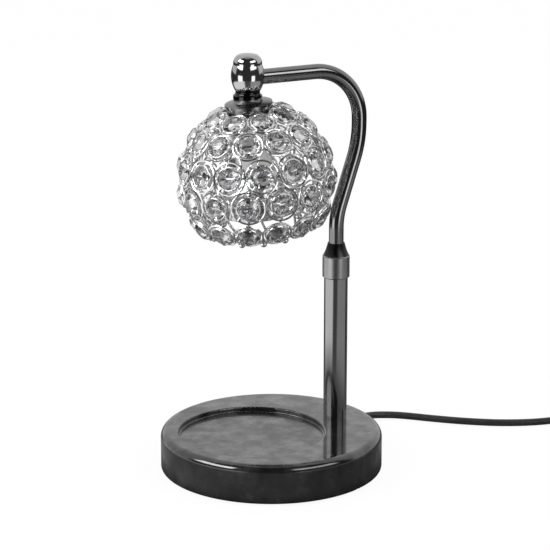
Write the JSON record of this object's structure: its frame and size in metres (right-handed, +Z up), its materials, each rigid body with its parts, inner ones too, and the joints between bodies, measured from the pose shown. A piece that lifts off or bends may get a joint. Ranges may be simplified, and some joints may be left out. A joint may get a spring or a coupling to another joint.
{
  "type": "candle warmer lamp",
  "caption": "Candle warmer lamp: round polished stone foot with a jar recess, telescopic post with lock nut, swan-neck arm and a ball shade of cut crystals over a reflector bulb.",
  "frame": {"origin": "middle of the underside of the foot, on the surface it stands on", "axes": "+Z up; +X from the jar recess towards the post; +Y to the back left of the pictured view"},
  "size_m": [0.4853, 0.15, 0.2856],
  "materials": {
    "stone": "polished black stone",
    "pad_rubber": "matte rubber pad",
    "black_nickel": "polished dark nickel plate",
    "inner_steel": "plain zinc-plated steel",
    "brass": "bright brass",
    "guide_plastic": "natural acetal",
    "ceramic": "unglazed white porcelain",
    "crystal": "cut crystal",
    "bezel_chrome": "polished dark nickel wire",
    "reflector_glass": "aluminised glass reflector",
    "bulb_glass": "clear heat-resistant glass",
    "wire_white": "silicone sleeved wire",
    "cord_black": "satin black PVC",
    "switch_black": "fine-textured black plastic",
    "tie_black": "black tie strap"
  },
  "bodies": {
    "foot": {"base_body": "stone", "base_foot_pad": "pad_rubber", "coil_entry_lead": "cord_black", "cord_coil": "cord_black", "cord_lead": "cord_black", "cord_tie": "tie_black", "dimmer_control": "guide_plastic", "dimmer_lower_shell": "switch_black", "dimmer_screws": "inner_steel", "dimmer_upper_shell": "switch_black", "grip_collet": "brass", "lift_lead": "wire_white", "lock_sleeve": "brass", "plug_blades": "brass", "plug_body": "switch_black", "plug_lead": "cord_black", "post_plug": "inner_steel", "post_tube": "black_nickel", "strain_relief": "cord_black", "stud": "inner_steel", "stud_nut": "inner_steel", "stud_washer": "inner_steel", "supply_lead": "cord_black"},
    "slider": {"guide_bush": "guide_plastic"},
    "lock_nut": {"lock_nut": "black_nickel"},
    "arm": {"arm_tube": "black_nickel", "bush_clips": "inner_steel", "barrel_body": "black_nickel", "barrel_finial": "black_nickel", "head_nipple": "inner_steel", "nipple_nuts": "brass", "holder_bracket": "inner_steel", "holder_screws": "inner_steel", "lampholder": "ceramic", "holder_contacts": "brass", "holder_wires": "wire_white", "shade_cap": "black_nickel", "crown_ring": "black_nickel", "crystal_row_five": "crystal", "crystal_row_four": "crystal", "crystal_row_one": "crystal", "crystal_row_three": "crystal", "crystal_row_two": "crystal", "bezel_row_five": "bezel_chrome", "bezel_row_four": "bezel_chrome", "bezel_row_one": "bezel_chrome", "bezel_row_three": "bezel_chrome", "bezel_row_two": "bezel_chrome", "shade_hoops": "bezel_chrome", "shade_ribs_outer": "bezel_chrome", "shade_ribs_inner": "bezel_chrome", "rim_beads": "crystal", "arm_lead": "wire_white"},
    "bulb": {"bulb_pins": "inner_steel", "bulb_base": "ceramic", "bulb_reflector": "reflector_glass", "bulb_front_glass": "bulb_glass", "bulb_capsule": "bulb_glass"},
    "dial": {"dimmer_wheel": "switch_black", "dimmer_axle": "inner_steel"}
  },
  "joints": [
    {"name": "height_slide", "type": "slide", "parent": "foot", "child": "slider", "axis": [0, 0, 1], "range_m": [-0.008, 0.045], "deforming": ["lift_lead"]},
    {"name": "arm_swing", "type": "hinge", "parent": "slider", "child": "arm", "pos_m": [0.049, 0, 0.2], "axis": [0, 0, 1], "range_deg": [-90, 90]},
    {"name": "lock_nut_turn", "type": "hinge", "parent": "foot", "child": "lock_nut", "pos_m": [0.049, 0, 0.14], "axis": [0, 0, 1], "range_deg": [-20, 340]},
    {"name": "bulb_twist", "type": "hinge", "parent": "arm", "child": "bulb", "pos_m": [-0.01326, 0, 0.22421], "axis": [-0.1132, 0, 0.9936], "range_deg": [-15, 0]},
    {"name": "dimmer_dial", "type": "hinge", "parent": "foot", "child": "dial", "pos_m": [0.28651, -0.03491, 0.0113], "axis": [0.2588, 0.9659, 0], "range_deg": [0, 270]}
  ]
}
